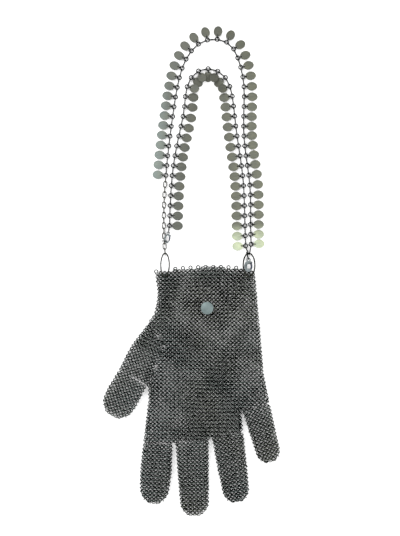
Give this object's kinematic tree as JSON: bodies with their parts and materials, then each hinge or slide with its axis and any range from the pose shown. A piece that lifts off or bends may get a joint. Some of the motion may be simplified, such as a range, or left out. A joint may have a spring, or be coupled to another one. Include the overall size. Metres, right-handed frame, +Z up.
{
  "type": "chain mail glove bag",
  "caption": "Chain mail work glove carried by a looped strap of oval metal charms, with a snap button at the cuff, clasps and bending fingers.",
  "frame": {"origin": "centre of the whole outline, on the surface the glove lies on", "axes": "+X across the hand, away from the thumb; +Y from the fingertips to the top of the strap; +Z up from the surface, out of the face with the snap"},
  "size_m": [0.1774, 0.4904, 0.0134],
  "materials": {
    "mail": "dull grey woven rings, bright on their crowns",
    "trim_ring": "dull wire",
    "snap": "smooth satin",
    "charm": "satin pewter, darker at the rim",
    "chain": "blackened wire",
    "oval": "dark polished wire",
    "extension": "tarnished",
    "clasp": "satin with dark edges"
  },
  "bodies": {
    "glove": {"cuff_back_mail": "mail", "cuff_left_mail": "mail", "cuff_right_mail": "mail", "palm_front_mail": "mail", "palm_back_mail": "mail", "thumb_gusset_front_mail": "mail", "thumb_gusset_back_mail": "mail", "gusset_side_mail": "mail", "index_side_mail": "mail", "left_side_mail": "mail", "right_side_mail": "mail", "ring_side_mail": "mail", "snap_stud": "snap", "snap_back_ring": "snap", "left_edge_rings": "trim_ring", "right_edge_rings": "trim_ring", "left_hold_ring": "trim_ring", "right_hold_ring": "trim_ring"},
    "cuff_front": {"cuff_front_mail": "mail", "snap_cap": "snap", "snap_socket": "snap", "front_edge_rings": "trim_ring"},
    "thumb_base": {"thumb_base_mail": "mail"},
    "thumb_tip": {"thumb_tip_mail": "mail"},
    "index_base": {"index_base_mail": "mail"},
    "index_tip": {"index_tip_mail": "mail"},
    "middle_base": {"middle_base_mail": "mail"},
    "middle_tip": {"middle_tip_mail": "mail"},
    "ring_base": {"ring_base_mail": "mail"},
    "ring_tip": {"ring_tip_mail": "mail"},
    "little_base": {"little_base_mail": "mail"},
    "little_tip": {"little_tip_mail": "mail"},
    "strap_lower": {"lower_chain_eyes": "chain", "lower_chain_links": "chain", "lower_jump_rings": "chain", "lower_charms": "charm", "left_oval_ring": "oval", "right_oval_ring": "oval", "fold_links": "chain", "extension_chain": "extension", "left_clasp_body": "clasp", "left_clasp_pin": "clasp", "right_clasp_body": "clasp", "right_clasp_pin": "clasp", "clasp_links": "chain", "left_clasp_ring": "chain"},
    "strap_upper": {"upper_chain_eyes": "chain", "upper_chain_links": "chain", "upper_jump_rings": "chain", "upper_charms": "charm"},
    "left_lever": {"left_clasp_lever": "clasp"},
    "right_lever": {"right_clasp_lever": "clasp"}
  },
  "joints": [
    {"name": "mouth_open", "type": "hinge", "parent": "glove", "child": "cuff_front", "pos_m": [0.01518, -0.05141, 0.008], "axis": [1, 0, 0], "range_deg": [0, 20]},
    {"name": "thumb_knuckle", "type": "hinge", "parent": "glove", "child": "thumb_base", "pos_m": [-0.05872, -0.10691, 0.008], "axis": [-0.8755, 0.4833, 0], "range_deg": [0, 70]},
    {"name": "thumb_middle_joint", "type": "hinge", "parent": "thumb_base", "child": "thumb_tip", "pos_m": [-0.0679, -0.12354, 0.008], "axis": [-0.8755, 0.4833, 0], "range_deg": [0, 57]},
    {"name": "index_knuckle", "type": "hinge", "parent": "glove", "child": "index_base", "pos_m": [-0.03352, -0.17221, 0.008], "axis": [-0.9973, 0.0732, 0], "range_deg": [0, 70]},
    {"name": "index_middle_joint", "type": "hinge", "parent": "index_base", "child": "index_tip", "pos_m": [-0.03572, -0.20213, 0.008], "axis": [-0.9973, 0.0732, 0], "range_deg": [0, 57]},
    {"name": "middle_knuckle", "type": "hinge", "parent": "glove", "child": "middle_base", "pos_m": [0.00048, -0.17021, 0.008], "axis": [-0.9992, -0.0401, 0], "range_deg": [0, 70]},
    {"name": "middle_middle_joint", "type": "hinge", "parent": "middle_base", "child": "middle_tip", "pos_m": [0.00192, -0.20618, 0.008], "axis": [-0.9992, -0.0401, 0], "range_deg": [0, 57]},
    {"name": "ring_knuckle", "type": "hinge", "parent": "glove", "child": "ring_base", "pos_m": [0.03588, -0.16371, 0.008], "axis": [-0.989, -0.1478, 0], "range_deg": [0, 70]},
    {"name": "ring_middle_joint", "type": "hinge", "parent": "ring_base", "child": "ring_tip", "pos_m": [0.04061, -0.19536, 0.008], "axis": [-0.989, -0.1478, 0], "range_deg": [0, 57]},
    {"name": "little_knuckle", "type": "hinge", "parent": "glove", "child": "little_base", "pos_m": [0.06448, -0.13621, 0.008], "axis": [-0.9659, -0.2588, 0], "range_deg": [0, 70]},
    {"name": "little_middle_joint", "type": "hinge", "parent": "little_base", "child": "little_tip", "pos_m": [0.07121, -0.16132, 0.008], "axis": [-0.9659, -0.2588, 0], "range_deg": [0, 57]},
    {"name": "strap_swing", "type": "hinge", "parent": "glove", "child": "strap_lower", "pos_m": [0.01518, -0.00591, 0.0116], "axis": [1, 0, 0], "range_deg": [0, 90]},
    {"name": "strap_fold", "type": "hinge", "parent": "strap_lower", "child": "strap_upper", "pos_m": [0.01518, 0.12709, 0.0017], "axis": [1, 0, 0], "range_deg": [0, 100]},
    {"name": "left_clasp_open", "type": "hinge", "parent": "strap_lower", "child": "left_lever", "pos_m": [-0.02186, 0.03497, 0.0043], "axis": [0, 0, -1], "range_deg": [0, 20], "stiffness_Nm_per_rad": 0.0005},
    {"name": "right_clasp_open", "type": "hinge", "parent": "strap_lower", "child": "right_lever", "pos_m": [0.05935, 0.00788, 0.00612], "axis": [0, -0.3882, -0.9216], "range_deg": [0, 20], "stiffness_Nm_per_rad": 0.0005}
  ],
  "couplings": [
    {"joint": "thumb_middle_joint", "follows": "thumb_knuckle", "ratio": 0.8},
    {"joint": "index_middle_joint", "follows": "index_knuckle", "ratio": 0.8},
    {"joint": "middle_middle_joint", "follows": "middle_knuckle", "ratio": 0.8},
    {"joint": "ring_middle_joint", "follows": "ring_knuckle", "ratio": 0.8},
    {"joint": "little_middle_joint", "follows": "little_knuckle", "ratio": 0.8}
  ]
}
